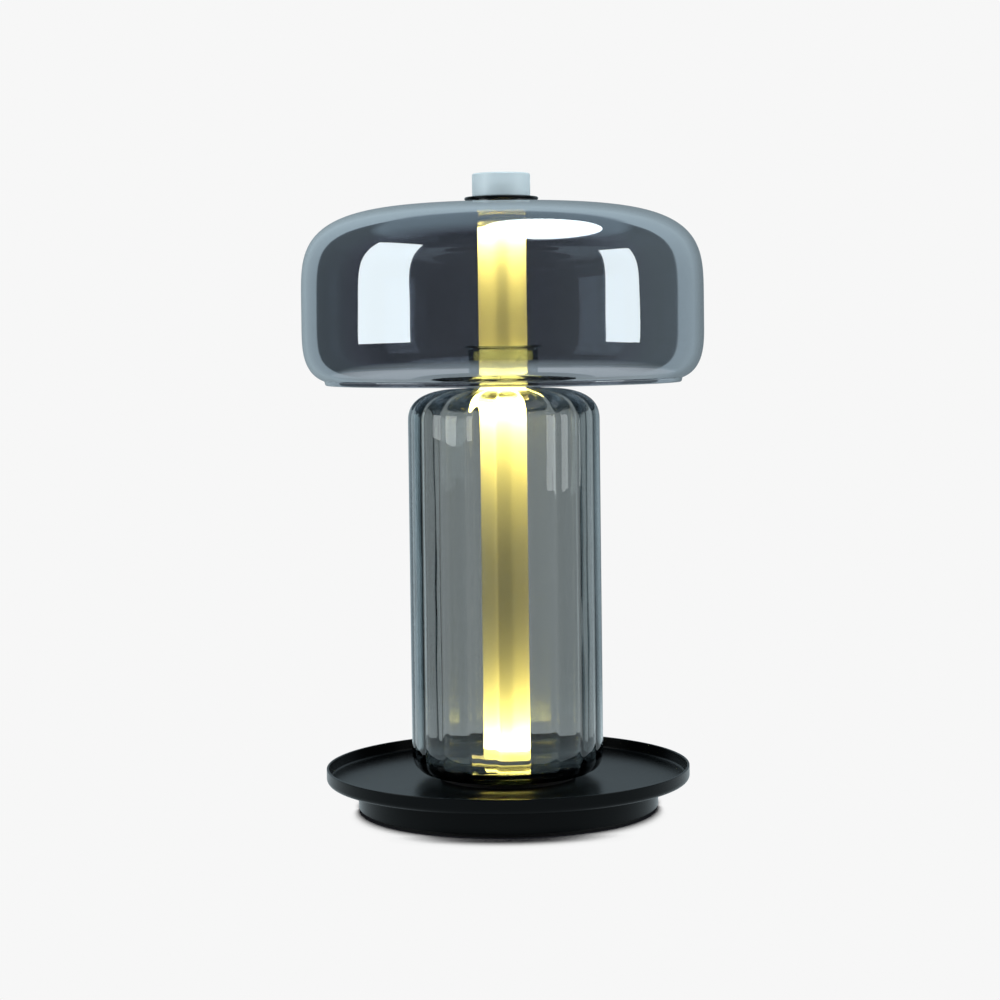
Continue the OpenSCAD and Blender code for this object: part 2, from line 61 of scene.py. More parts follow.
# Studio: an even pale room for matt surfaces, and for glass and metal a dark room with a pale
# backdrop behind the lamp. What is seen straight through the glass is the white of the page.
def linear(colour):
    """Turns an sRGB hex colour to linear."""
    parts = [int(colour[i:i + 2], 16) / 255 for i in (1, 3, 5)]
    return tuple(c / 12.92 if c < 0.04045 else ((c + 0.055) / 1.055) ** 2.4 for c in parts) + (1,)


def add(tree, kind, settings=None, **sockets):
    """A node with its settings, and sockets set to values or linked to other nodes' outputs."""
    node = tree.nodes.new(kind)
    for name, value in (settings or {}).items():
        setattr(node, name, value)
    for name, value in sockets.items():
        key = int(name[1:]) if name[0] == "i" and name[1:].isdigit() else name.replace("_", " ")
        if isinstance(value, bpy.types.NodeSocket):
            tree.links.new(value, node.inputs[key])
        else:
            node.inputs[key].default_value = value
    return node


page_white = linear("#f7f7f7")
world = bpy.data.worlds.new("studio")
scene.world = world
world.use_nodes = True
tree = world.node_tree
tree.nodes.clear()
paths = add(tree, "ShaderNodeLightPath")
direction = add(tree, "ShaderNodeTexCoord").outputs["Generated"]
xyz = add(tree, "ShaderNodeSeparateXYZ", Vector=direction)

# The mirrored room, from its front at 0 to the middle of the backdrop at 1. It is dark in front,
# and the backdrop has a sharp edge and a dimmer middle.
backdrop_middle = (0.116, 0.993, 0)
front_stop = (0.3, (0.025, 0.028, 0.033, 1))
side_stop = (0.45, (0.09, 0.1, 0.125, 1))
backdrop_tint = (0.72, 0.9, 1.0)
backdrop_levels = ((0.6, 0.16), (0.768, 0.18), (0.784, 0.9), (0.91, 0.86), (0.99, 0.36), (1.0, 0.3))
towards_back = add(tree, "ShaderNodeVectorMath", {"operation": "DOT_PRODUCT"}, i0=direction,
                   i1=backdrop_middle).outputs["Value"]
around = add(tree, "ShaderNodeMapRange", Value=towards_back, From_Min=-1.0, From_Max=1.0)
backdrop = add(tree, "ShaderNodeValToRGB", Fac=around.outputs["Result"])
for stop, (place, colour) in zip(backdrop.color_ramp.elements, (front_stop, side_stop)):
    stop.position = place
    stop.color = colour
for place, level in backdrop_levels:
    stop = backdrop.color_ramp.elements.new(place)
    stop.color = tuple(level * part for part in backdrop_tint) + (1,)

# It gets brighter with height, and has a faint wall on the right and a pale ceiling over its back.
# The limits are parts of the direction in which the room is seen, from -1 to 1.
height_gain = 1.7
right_wall_start = 0.4
right_wall_level = 0.12
right_wall_tint = (0.75, 0.95, 1.0)
ceiling_start = 0.7
ceiling_full = 0.76
ceiling_front = -0.3
ceiling_back = 0.25
ceiling_colour = (0.42, 0.55, 0.64, 1)
higher = add(tree, "ShaderNodeMapRange", Value=xyz.outputs["Z"], To_Min=1.0, To_Max=height_gain)
brighter = add(tree, "ShaderNodeVectorMath", {"operation": "SCALE"}, i0=backdrop.outputs["Color"],
               Scale=higher.outputs["Result"])
rightward = add(tree, "ShaderNodeMapRange", Value=xyz.outputs["X"], From_Min=right_wall_start,
                From_Max=1.0, To_Max=right_wall_level)
side_wall = add(tree, "ShaderNodeVectorMath", {"operation": "SCALE"}, i0=right_wall_tint,
                Scale=rightward.outputs["Result"])
walls = add(tree, "ShaderNodeVectorMath", {"operation": "ADD"}, i0=brighter.outputs["Vector"],
            i1=side_wall.outputs["Vector"])
above = add(tree, "ShaderNodeMapRange", Value=xyz.outputs["Z"], From_Min=ceiling_start,
            From_Max=ceiling_full)
in_back = add(tree, "ShaderNodeMapRange", Value=towards_back, From_Min=ceiling_front,
              From_Max=ceiling_back)
covered = add(tree, "ShaderNodeMath", {"operation": "MULTIPLY"}, i0=above.outputs["Result"],
              i1=in_back.outputs["Result"])
mirror_map = add(tree, "ShaderNodeMix", {"data_type": "RGBA"}, i0=covered.outputs["Value"],
                 i6=walls.outputs["Vector"], i7=ceiling_colour)

# Matt surfaces are lit by the pale room. Camera, mirrored and refracted rays see the page, or the
# mirrored room once they have been mirrored.
room = add(tree, "ShaderNodeBackground", Color=(0.8, 0.8, 0.8, 1))
mirrored_room = add(tree, "ShaderNodeBackground", Color=mirror_map.outputs[2])
page = add(tree, "ShaderNodeBackground", Color=page_white)
reflections = add(tree, "ShaderNodeMath", {"operation": "GREATER_THAN"},
                  i0=paths.outputs["Glossy Depth"], i1=0.5)
bounced = add(tree, "ShaderNodeMixShader", Fac=reflections.outputs["Value"],
              i1=page.outputs["Background"], i2=mirrored_room.outputs["Background"])
sharp = add(tree, "ShaderNodeMath", {"operation": "MAXIMUM"},
            i0=paths.outputs["Is Glossy Ray"], i1=paths.outputs["Is Transmission Ray"])
seen = add(tree, "ShaderNodeMath", {"operation": "MAXIMUM"},
           i0=sharp.outputs["Value"], i1=paths.outputs["Is Camera Ray"])
both = add(tree, "ShaderNodeMixShader", Fac=seen.outputs["Value"],
           i1=room.outputs["Background"], i2=bounced.outputs["Shader"])
add(tree, "ShaderNodeOutputWorld", Surface=both.outputs["Shader"])


# Soft boxes: three lights that the shade mirrors, one on each side of the camera and one overhead.
# A box's level sets how bright it looks. Its power is that, times four times its width and height.
def soft_box(name, shape, place, target, width, height, level):
    data = bpy.data.lights.new(name, "AREA")
    data.shape = shape
    data.size = width
    data.size_y = height
    data.energy = level * width * height * 4
    data.color = (0.93, 1, 1)
    light = bpy.data.objects.new(name, data)
    light.location = place
    light.rotation_euler = (Vector(target) - Vector(place)).to_track_quat("-Z", "Y").to_euler()
    light.visible_camera = False
    scene.collection.objects.link(light)


soft_box("soft_box_left", "RECTANGLE", place=(-1.109, -0.464, 0.7275), target=(0, 0, 0.7275),
         width=0.73, height=1.105, level=2.8)
soft_box("soft_box_right", "RECTANGLE", place=(1.585, -0.62, 0.62), target=(0, 0, 0.62),
         width=0.68, height=1.06, level=2.6)
soft_box("soft_box_overhead", "ELLIPSE", place=(0.37, -0.31, 1.45), target=(0.37, -0.31, 0),
         width=1.0, height=1.28, level=2.9)


# Floor: a paper sweep in the white of the page, with the lamp's soft shadow close to its foot. The
# shadow is short at the sides and reaches further out in front and behind. In mirrors the floor
# is a little bluer and ends not far from the lamp.
def new_object(name, mesh):
    piece = bpy.data.objects.new(name, mesh)
    scene.collection.objects.link(piece)
    return piece


def new_material(name):
    material = bpy.data.materials.new(name)
    material.use_nodes = True
    material.node_tree.nodes.clear()
    return material, material.node_tree


floor_half = 4
foot_depth = 0.1
side_reach = 0.004
front_reach = 0.021
mirror_tint = linear("#e7f8ff")
mirror_fade_start = 0.28
mirror_fade_end = 0.56
corner_signs = ((-1, -1), (1, -1), (1, 1), (-1, 1))
floor_corners = [(x * floor_half, y * floor_half, 0) for x, y in corner_signs]
floor_mesh = bpy.data.meshes.new("floor")
floor_mesh.from_pydata(floor_corners, [], [(0, 1, 2, 3)])
floor = new_object("floor", floor_mesh)
material, tree = new_material("white_sweep")
paths = add(tree, "ShaderNodeLightPath")
place = add(tree, "ShaderNodeTexCoord").outputs["Object"]
along_y = add(tree, "ShaderNodeSeparateXYZ", Vector=place).outputs["Y"]
from_sides = add(tree, "ShaderNodeMath", {"operation": "ABSOLUTE"}, i0=along_y)
reach = add(tree, "ShaderNodeMapRange", Value=from_sides.outputs["Value"], From_Max=foot_depth,
            To_Min=side_reach, To_Max=front_reach)
blocked = add(tree, "ShaderNodeAmbientOcclusion", {"samples": 8}, Distance=reach.outputs["Result"])
shadow = add(tree, "ShaderNodeValToRGB", Fac=blocked.outputs["AO"])
shadow.color_ramp.elements[0].position = 0.5
shadow.color_ramp.elements[0].color = linear("#16171a")
shadow.color_ramp.elements[1].position = 0.9
shadow.color_ramp.elements[1].color = page_white
mirrored = add(tree, "ShaderNodeMath", {"operation": "GREATER_THAN"},
               i0=paths.outputs["Glossy Depth"], i1=0.5)
tinted = add(tree, "ShaderNodeMix", {"data_type": "RGBA", "blend_type": "MULTIPLY"},
             i0=mirrored.outputs["Value"], i6=shadow.outputs["Color"], i7=mirror_tint)
glow = add(tree, "ShaderNodeEmission", Color=tinted.outputs[2])
ahead = add(tree, "ShaderNodeVectorMath", {"operation": "LENGTH"}, i0=place)
far = add(tree, "ShaderNodeMapRange", Value=ahead.outputs["Value"], From_Min=mirror_fade_start,
          From_Max=mirror_fade_end)
past_edge = add(tree, "ShaderNodeMath", {"operation": "MULTIPLY"},
                i0=mirrored.outputs["Value"], i1=far.outputs["Result"])
gone = add(tree, "ShaderNodeBsdfTransparent")
sweep = add(tree, "ShaderNodeMixShader", Fac=past_edge.outputs["Value"],
            i1=glow.outputs["Emission"], i2=gone.outputs["BSDF"])
add(tree, "ShaderNodeOutputMaterial", Surface=sweep.outputs["Shader"])
floor_mesh.materials.append(material)


# Foot, grommet and pad: moulded black rubber. The foot is a ring with rounded edges that keeps the
# steel off the table, the grommet lines the cable's hole, and the pad lies between tray and glass.
# The rubber is dull black, and its grain of half a millimetre breaks up what little it reflects.
def arc(centre, radius, first, last, steps):
    """Points on an arc, from one angle in degrees to another."""
    angles = [math.radians(first + (last - first) * i / steps) for i in range(steps + 1)]
    return [(centre[0] + radius * math.cos(a), centre[1] + radius * math.sin(a)) for a in angles]


def add_ring(shape, radii, z):
    """Vertices round the axis at a height, one for each radius, in millimetres."""
    turns = [math.tau * k / len(radii) for k in range(len(radii))]
    return [shape.verts.new((r * math.cos(a) / 1000, r * math.sin(a) / 1000, z / 1000))
            for r, a in zip(radii, turns)]


def join_rings(name, shape, rings, on_axis, edge_angle):
    """Joins each ring to the next, and the last to the first unless both ends are on the axis. The
    faces are smooth, with sharp edges where the surface turns by more than the angle."""
    pairs = list(zip(rings, rings[1:] + rings[:1]))
    for low, high in pairs[:-1] if on_axis else pairs:
        for k in range(len(low)):
            m = (k + 1) % len(low)
            shape.faces.new(list(dict.fromkeys((low[k], low[m], high[m], high[k]))))
    bmesh.ops.recalc_face_normals(shape, faces=shape.faces)
    shape.normal_update()
    for face in shape.faces:
        face.smooth = True
    for edge in shape.edges:
        edge.smooth = edge.calc_face_angle(0) < math.radians(edge_angle)
    mesh = bpy.data.meshes.new(name)
    shape.to_mesh(mesh)
    shape.free()
    return mesh


def lathe(name, profile, steps, edge_angle=35):
    """A profile, in millimetres, turned about its own axis. Points on the axis close it."""
    shape = bmesh.new()
    rings = []
    for r, z in profile:
        if r < 1e-6:
            rings.append(add_ring(shape, [0], z) * steps)
        else:
            rings.append(add_ring(shape, [r] * steps, z))
    on_axis = profile[0][0] < 1e-6 and profile[-1][0] < 1e-6
    return join_rings(name, shape, rings, on_axis, edge_angle)


def stand_in(piece, body, node):
    """Lets a piece of the scene take the place of a CAD node."""
    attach(piece, body)
    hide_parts(node)


def finish_nodes(material, *names):
    """Gives the finish to CAD nodes that stay as they are."""
    for name in names:
        nodes[name].data.materials.clear()
        nodes[name].data.materials.append(material)


grain_mm = 0.5556
material, tree = new_material("moulded_rubber")
place = add(tree, "ShaderNodeTexCoord").outputs["Object"]
grain = add(tree, "ShaderNodeTexNoise", Vector=place, Scale=1000 / grain_mm, Detail=3.0)
bump = add(tree, "ShaderNodeBump", Strength=0.3, Distance=0.0002, Height=grain.outputs["Fac"])
rubber = add(tree, "ShaderNodeBsdfPrincipled", Base_Color=linear("#0b0c0d"), Roughness=0.75,
             IOR=1.52, Normal=bump.outputs["Normal"])
add(tree, "ShaderNodeOutputMaterial", Surface=rubber.outputs["BSDF"])

foot_out = 90.0
foot_in = 78.0
foot_top = 2.5
low_edge = 0.5
high_edge = 0.1
foot_profile = (arc((foot_out - low_edge, low_edge), low_edge, -90, 0, 4)
                + arc((foot_out - high_edge, foot_top - high_edge), high_edge, 0, 90, 2)
                + arc((foot_in + high_edge, foot_top - high_edge), high_edge, 90, 180, 2)
                + arc((foot_in + low_edge, low_edge), low_edge, 180, 270, 4))
foot_mesh = lathe("rubber_foot", foot_profile, 256)
foot_mesh.materials.append(material)
stand_in(new_object("rubber_foot", foot_mesh), "root", "foot_ring")
finish_nodes(material, "cable_grommet", "body_pad")

# Base plate: laser-cut steel with a matt powder coat, held under the plinth by four screws. The
# coat's grain of 0.8 mm gives it a dull, slightly pitted look.
grain_mm = 0.83333
material, tree = new_material("powder_coated_steel")
place = add(tree, "ShaderNodeTexCoord").outputs["Object"]
grain = add(tree, "ShaderNodeTexNoise", Vector=place, Scale=1000 / grain_mm, Detail=4.0)
bump = add(tree, "ShaderNodeBump", Strength=0.4, Distance=0.0002, Height=grain.outputs["Fac"])
coat = add(tree, "ShaderNodeBsdfPrincipled", Base_Color=linear("#232527"), Roughness=0.62,
           Normal=bump.outputs["Normal"])
add(tree, "ShaderNodeOutputMaterial", Surface=coat.outputs["BSDF"])
finish_nodes(material, "base_plate")

# Plate screws, nuts and washer: zinc-plated steel. The screws are four M4 pan heads, each with a
# round recess, set round the plate by a node tree with their heads down. The plating is bright,
# with patches of 4 mm that are lighter or duller.
spangle_mm = 3.8462
material, tree = new_material("zinc_plated_steel")
place = add(tree, "ShaderNodeTexCoord").outputs["Object"]
spangle = add(tree, "ShaderNodeTexNoise", Vector=place, Scale=1000 / spangle_mm, Detail=2.0)
tone = add(tree, "ShaderNodeValToRGB", Fac=spangle.outputs["Fac"])
tone.color_ramp.elements[0].color = linear("#a9a9a3")
tone.color_ramp.elements[1].color = linear("#d3d4cf")
gloss = add(tree, "ShaderNodeMapRange", Value=spangle.outputs["Fac"], To_Min=0.28, To_Max=0.45)
zinc = add(tree, "ShaderNodeBsdfPrincipled", Base_Color=tone.outputs["Color"], Metallic=1.0,
           Roughness=gloss.outputs["Result"])
add(tree, "ShaderNodeOutputMaterial", Surface=zinc.outputs["BSDF"])
finish_nodes(material, "stem_nut", "stem_washer", "upper_nut")


def node_tree(name, sizes):
    """A geometry node tree with named inputs for its sizes, and its input node's outputs."""
    group = bpy.data.node_groups.new(name, "GeometryNodeTree")
    group.interface.new_socket("Geometry", in_out="INPUT", socket_type="NodeSocketGeometry")
    for size in sizes:
        group.interface.new_socket(size, in_out="INPUT", socket_type="NodeSocketFloat")
    group.interface.new_socket("Geometry", in_out="OUTPUT", socket_type="NodeSocketGeometry")
    return group, add(group, "NodeGroupInput").outputs


def grown(name, mesh, group, sizes, result, material):
    """Ends the tree, runs it on the mesh and returns what it makes as a plain object."""
    real = add(group, "GeometryNodeRealizeInstances", Geometry=result)
    dressed = add(group, "GeometryNodeSetMaterial", Geometry=real.outputs["Geometry"],
                  Material=material)
    add(group, "NodeGroupOutput", Geometry=dressed.outputs["Geometry"])
    source = new_object(name + "_start", mesh)
    modifier = source.modifiers.new("shape", "NODES")
    modifier.node_group = group
    for socket in group.interface.items_tree:
        if socket.in_out == "INPUT" and socket.name in sizes:
            modifier[socket.identifier] = float(sizes[socket.name])
    evaluated = source.evaluated_get(bpy.context.evaluated_depsgraph_get())
    made = bpy.data.meshes.new_from_object(evaluated)
    source.modifiers.remove(modifier)
    bpy.data.objects.remove(source)
    made.name = name
    return new_object(name, made)


recess_floor = 2.0
recess_r = 1.25
head_r = 3.8
head_top = 2.5
shank_r = 1.95
tip = 10.5
screw_profile = [(0, recess_floor), (recess_r, recess_floor), (recess_r, 0.78), (1.45, 0.7),
                 (2.4, 0.75), (3.3, 1.05), (head_r, 1.6), (head_r, head_top), (shank_r, head_top),
                 (shank_r, tip - 0.5), (1.4, tip), (0, tip)]
screw_mesh = lathe("plate_screw", screw_profile, 24, 30)
sizes = {"Count": 4, "Circle radius": 0.066}
group, given = node_tree("screws_round_plate", sizes)
circle = add(group, "GeometryNodeMeshCircle", Radius=given["Circle radius"])
count = add(group, "FunctionNodeFloatToInt", i0=given["Count"])
group.links.new(count.outputs[0], circle.inputs["Vertices"])
eighth = (0, 0, math.radians(45))
turned = add(group, "GeometryNodeTransform", Geometry=circle.outputs["Mesh"], Rotation=eighth)
placed = add(group, "GeometryNodeInstanceOnPoints", Points=turned.outputs["Geometry"],
             Instance=given["Geometry"])
screws = grown("plate_screws_m4", screw_mesh, group, sizes, placed.outputs["Instances"], material)
stand_in(screws, "root", "plate_screws")

# Plinth, tray and clamp ring: a spun steel drum, a spun dish and a steel washer, all in satin black
# paint. The paint is low in sheen, with the faint orange peel of a sprayed coat, 2 mm across, and
# patches of 36 mm that are a little duller.
peel_mm = 1.9231
patch_mm = 35.714
material, tree = new_material("satin_black_paint")
place = add(tree, "ShaderNodeTexCoord").outputs["Object"]
peel = add(tree, "ShaderNodeTexNoise", Vector=place, Scale=1000 / peel_mm, Detail=2.0)
bump = add(tree, "ShaderNodeBump", Strength=0.12, Distance=0.0002, Height=peel.outputs["Fac"])
patches = add(tree, "ShaderNodeTexNoise", Vector=place, Scale=1000 / patch_mm, Detail=3.0)
gloss = add(tree, "ShaderNodeMapRange", Value=patches.outputs["Fac"], To_Min=0.21, To_Max=0.28)
paint = add(tree, "ShaderNodeBsdfPrincipled", Base_Color=linear("#040607"),
            Roughness=gloss.outputs["Result"], Specular_IOR_Level=0.08,
            Normal=bump.outputs["Normal"])
add(tree, "ShaderNodeOutputMaterial", Surface=paint.outputs["BSDF"])
finish_nodes(material, "plinth_shell", "tray", "clamp_ring")

# Ballast: a ring of sand-cast iron that lies on the base plate and keeps the lamp upright. The
# sand leaves it rough and dark grey, with a grain of 1.4 mm.
sand_mm = 1.4286
material, tree = new_material("cast_iron")
place = add(tree, "ShaderNodeTexCoord").outputs["Object"]
sand = add(tree, "ShaderNodeTexNoise", Vector=place, Scale=1000 / sand_mm, Detail=5.0)
bump = add(tree, "ShaderNodeBump", Strength=0.7, Distance=0.0004, Height=sand.outputs["Fac"])
tone = add(tree, "ShaderNodeValToRGB", Fac=sand.outputs["Fac"])
tone.color_ramp.elements[0].color = linear("#333232")
tone.color_ramp.elements[1].color = linear("#5b5956")
iron = add(tree, "ShaderNodeBsdfPrincipled", Base_Color=tone.outputs["Color"], Metallic=0.8,
           Roughness=0.68, Normal=bump.outputs["Normal"])
add(tree, "ShaderNodeOutputMaterial", Surface=iron.outputs["BSDF"])
finish_nodes(material, "ballast_ring")

# Driver: the moulded ABS box that feeds the boards. Its mould was spark-eroded, which gives the
# off-white plastic a dull, even texture, drawn here 0.7 mm across so that it shows.
spark_mm = 0.66667
material, tree = new_material("moulded_abs")
place = add(tree, "ShaderNodeTexCoord").outputs["Object"]
spark = add(tree, "ShaderNodeTexNoise", Vector=place, Scale=1000 / spark_mm, Detail=2.0)
bump = add(tree, "ShaderNodeBump", Strength=0.25, Distance=0.0002, Height=spark.outputs["Fac"])
abs_plastic = add(tree, "ShaderNodeBsdfPrincipled", Base_Color=linear("#e4e4e0"), Roughness=0.5,
                  IOR=1.53, Normal=bump.outputs["Normal"])
add(tree, "ShaderNodeOutputMaterial", Surface=abs_plastic.outputs["BSDF"])
finish_nodes(material, "led_driver")

# Wiring: two wires in red PVC, from the driver up the stem. The jacket is smooth with a satin
# sheen, and has duller scuffs of 2.5 mm from being pulled through the stem.
scuff_mm = 2.5
material, tree = new_material("pvc_jacket")
place = add(tree, "ShaderNodeTexCoord").outputs["Object"]
scuff = add(tree, "ShaderNodeTexNoise", Vector=place, Scale=1000 / scuff_mm, Detail=2.0)
gloss = add(tree, "ShaderNodeMapRange", Value=scuff.outputs["Fac"], To_Min=0.32, To_Max=0.5)
pvc = add(tree, "ShaderNodeBsdfPrincipled", Base_Color=linear("#b8352c"), IOR=1.53,
          Roughness=gloss.outputs["Result"])
add(tree, "ShaderNodeOutputMaterial", Surface=pvc.outputs["BSDF"])
finish_nodes(material, "wiring")

# Stem: an M8 by 1 threaded steel pipe, blackened, that clamps the whole lamp. Its ends carry a
# rolled thread. Between them it is plain, and it shows as the dark middle of the glowing tube.
stem_r = 4.0
stem_bore = 2.5
stem_low = 8.3
stem_high = 386.0
end_wall = 0.8
thread_pitch = 1.0
thread_depth = 0.6
thread_length = 21.0
rings_a_pitch = 8
plain_step = 8.0
stem_steps = 36
stem_heights = []
z = stem_low
while z < stem_high - 1e-6:
    stem_heights.append(z)
    near_end = z < stem_low + thread_length or z > stem_high - thread_length
    z += thread_pitch / rings_a_pitch if near_end else plain_step
stem_heights.append(stem_high)
shape = bmesh.new()
stem_rings = []
for z in stem_heights:
    from_end = min(z - stem_low, stem_high - z)
    cut = min(1, max(0, (thread_length - from_end) / thread_pitch))
    radii = []
    for k in range(stem_steps):
        phase = (z / thread_pitch - k / stem_steps) % 1
        r = stem_r - cut * thread_depth * abs(2 * phase - 1)
        radii.append(min(r, stem_bore + end_wall + from_end))
    stem_rings.append(add_ring(shape, radii, z))
for z in (stem_high, stem_low):
    stem_rings.append(add_ring(shape, [stem_bore] * stem_steps, z))
stem_mesh = join_rings("stem", shape, stem_rings, False, 28)
oxide_mm = 3.3333
material, tree = new_material("black_oxide_steel")
place = add(tree, "ShaderNodeTexCoord").outputs["Object"]
oxide = add(tree, "ShaderNodeTexNoise", Vector=place, Scale=1000 / oxide_mm, Detail=3.0)
gloss = add(tree, "ShaderNodeMapRange", Value=oxide.outputs["Fac"], To_Min=0.35, To_Max=0.5)
steel = add(tree, "ShaderNodeBsdfPrincipled", Base_Color=linear("#2c2a26"), Metallic=0.7,
            Roughness=gloss.outputs["Result"])
add(tree, "ShaderNodeOutputMaterial", Surface=steel.outputs["BSDF"])
stem_mesh.materials.append(material)
stand_in(new_object("threaded_pipe", stem_mesh), "root", "threaded_stem")


# Body glass: smoked glass blown in a ribbed mould, 3 mm thick, with a neck and a turned-out lip. A
# node tree presses the twenty grooves into its outer side. Blowing leaves soft waves of 22 mm in
# it, drawn out along its height. It starts 0.05 mm above its pad, so that they don't share a face.
def squircle(r0, r1, z0, z1, power, first, last, steps):
    """Points on a squared ellipse, closer together towards both ends."""
    points = []
    for i in range(steps + 1):
        share = (1 - math.cos(math.pi * i / steps)) / 2
        a = math.radians(first + (last - first) * share)
        across = max(math.cos(a), 0) ** (2 / power)
        up = max(math.sin(a), 0) ** (2 / power)
        points.append((r0 + (r1 - r0) * across, z0 + (z1 - z0) * up))
    return points


body_r = 59.6
body_wall = 3.0
body_low = 23.05
body_floor = 27.5
body_top = 261.5
wall_heights = (60.0, 120.0, 180.0)
flat_r = 30.0
heel_w = 12.6
heel_h = 12
heel_power = 2.3
shoulder_h = 20.5
shoulder_power = 2.6
neck_r = 21.5
neck_bend = 3
hole_r = 10.8
hole_bevel = 0.5
hole_inner_bevel = 0.3
lip_top = 288.0
lip_r = 23.2
lip_edge = 0.8
flare = 1.7
body_outside = (
    [(hole_r + hole_bevel, body_low), (flat_r, body_low)]
    + squircle(body_r - heel_w, body_r, body_low + heel_h, body_low, heel_power, 90, 0, 22)
    + [(body_r, z) for z in wall_heights]
    + squircle(neck_r + neck_bend, body_r, body_top - shoulder_h, body_top, shoulder_power,
               0, 90, 32)
    + arc((neck_r + neck_bend, body_top + neck_bend), neck_bend, -100, -180, 7)
    + arc((lip_r, lip_top - 2 * lip_edge - flare), flare, 180, 100, 7)
    + arc((lip_r, lip_top - lip_edge), lip_edge, -30, 90, 8))
inner_r = body_r - body_wall
inner_neck = neck_r - body_wall
inner_heel = 9.6
inner_edge = 0.6
body_inside = (
    arc((inner_neck + inner_edge, lip_top - inner_edge), inner_edge, 90, 180, 4)
    + arc((inner_neck + neck_bend, body_top), neck_bend, -180, -100, 7)
    + squircle(inner_neck + neck_bend, inner_r, body_top - shoulder_h, body_top - body_wall,
               shoulder_power, 90, 0, 28)
    + [(inner_r, z) for z in reversed(wall_heights)]
    + squircle(inner_r - inner_heel, inner_r, body_floor + inner_heel, body_floor, heel_power,
               0, 90, 20)
    + [(flat_r, body_floor), (hole_r + hole_inner_bevel, body_floor),
       (hole_r, body_floor - hole_inner_bevel), (hole_r, body_low + hole_bevel)])
ribs = 20
body_steps = ribs * 16
body_mesh = lathe("body_glass", body_outside + body_inside, body_steps, 50)
outside = body_mesh.attributes.new("outside", "FLOAT", "POINT")
for vertex in body_mesh.vertices:
    outside.data[vertex.index].value = float(vertex.index < len(body_outside) * body_steps)

wave_mm = 22.222
material, tree = new_material("smoked_ribbed_glass")
place = add(tree, "ShaderNodeTexCoord").outputs["Object"]
stretched = add(tree, "ShaderNodeMapping", Vector=place, Scale=(1, 1, 0.3))
waves = add(tree, "ShaderNodeTexNoise", Vector=stretched.outputs["Vector"], Scale=1000 / wave_mm,
            Detail=1.0)
bump = add(tree, "ShaderNodeBump", Strength=0.35, Distance=0.0012, Height=waves.outputs["Fac"])
glass = add(tree, "ShaderNodeBsdfPrincipled", Base_Color=linear("#cdd1d1"), Roughness=0.0, IOR=1.5,
            Transmission_Weight=1.0, Normal=bump.outputs["Normal"])
smoke = add(tree, "ShaderNodeVolumeAbsorption", Color=linear("#2c5b64"), Density=110.0)
add(tree, "ShaderNodeOutputMaterial", Surface=glass.outputs["BSDF"], Volume=smoke.outputs["Volume"])

# The ribs: at each point the angle gives how deep the groove is, from 0 on a crest to 1. It fades
# out at the neck and at the foot, and the point moves in by the rest.
softness = 0.004
sizes = {"Ribs": ribs, "Depth": 0.0011, "Sharpness": 1.35, "Turn": math.radians(-4.8),
         "Neck radius": neck_r / 1000, "Foot height": body_low / 1000, "Fade": 0.01,
         "Foot fade": 0.003}
group, given = node_tree("moulded_ribs", sizes)
xyz = add(group, "ShaderNodeSeparateXYZ", Vector=add(group, "GeometryNodeInputPosition").outputs[0])
angle = add(group, "ShaderNodeMath", {"operation": "ARCTAN2"}, i0=xyz.outputs["Y"],
            i1=xyz.outputs["X"])
from_groove = add(group, "ShaderNodeMath", {"operation": "SUBTRACT"}, i0=angle.outputs[0],
                  i1=given["Turn"])
quarter = add(group, "ShaderNodeMath", {"operation": "ADD"}, i0=from_groove.outputs[0],
              i1=math.pi / 2)
turns = add(group, "ShaderNodeMath", {"operation": "MULTIPLY"}, i0=quarter.outputs[0],
            i1=given["Ribs"])
half_turn = add(group, "ShaderNodeMath", {"operation": "MULTIPLY"}, i0=turns.outputs[0], i1=0.5)
wave = add(group, "ShaderNodeMath", {"operation": "SINE"}, i0=half_turn.outputs[0])
square = add(group, "ShaderNodeMath", {"operation": "MULTIPLY"}, i0=wave.outputs[0],
             i1=wave.outputs[0])
softened = add(group, "ShaderNodeMath", {"operation": "ADD"}, i0=square.outputs[0], i1=softness)
crest = add(group, "ShaderNodeMath", {"operation": "SQRT"}, i0=softened.outputs[0])
hollow = add(group, "ShaderNodeMath", {"operation": "SUBTRACT", "use_clamp": True}, i0=1.0,
             i1=crest.outputs[0])
groove = add(group, "ShaderNodeMath", {"operation": "POWER"}, i0=hollow.outputs[0],
             i1=given["Sharpness"])
flat = add(group, "ShaderNodeCombineXYZ", X=xyz.outputs["X"], Y=xyz.outputs["Y"])
radius = add(group, "ShaderNodeVectorMath", {"operation": "LENGTH"}, i0=flat.outputs[0])
past_neck = add(group, "ShaderNodeMath", {"operation": "SUBTRACT"}, i0=radius.outputs["Value"],
                i1=given["Neck radius"])
share = add(group, "ShaderNodeMath", {"operation": "DIVIDE", "use_clamp": True},
            i0=past_neck.outputs[0], i1=given["Fade"])
past_foot = add(group, "ShaderNodeMath", {"operation": "SUBTRACT"}, i0=xyz.outputs["Z"],
                i1=given["Foot height"])
risen = add(group, "ShaderNodeMath", {"operation": "DIVIDE", "use_clamp": True},
            i0=past_foot.outputs[0], i1=given["Foot fade"])
both_ends = add(group, "ShaderNodeMath", {"operation": "MULTIPLY"}, i0=share.outputs[0],
                i1=risen.outputs[0])
side = add(group, "GeometryNodeInputNamedAttribute", {"data_type": "FLOAT"}, Name="outside")
pressed = add(group, "ShaderNodeMath", {"operation": "MULTIPLY"}, i0=groove.outputs[0],
              i1=both_ends.outputs[0])
outer_only = add(group, "ShaderNodeMath", {"operation": "MULTIPLY"}, i0=pressed.outputs[0],
                 i1=side.outputs["Attribute"])
depth = add(group, "ShaderNodeMath", {"operation": "MULTIPLY"}, i0=outer_only.outputs[0],
            i1=given["Depth"])
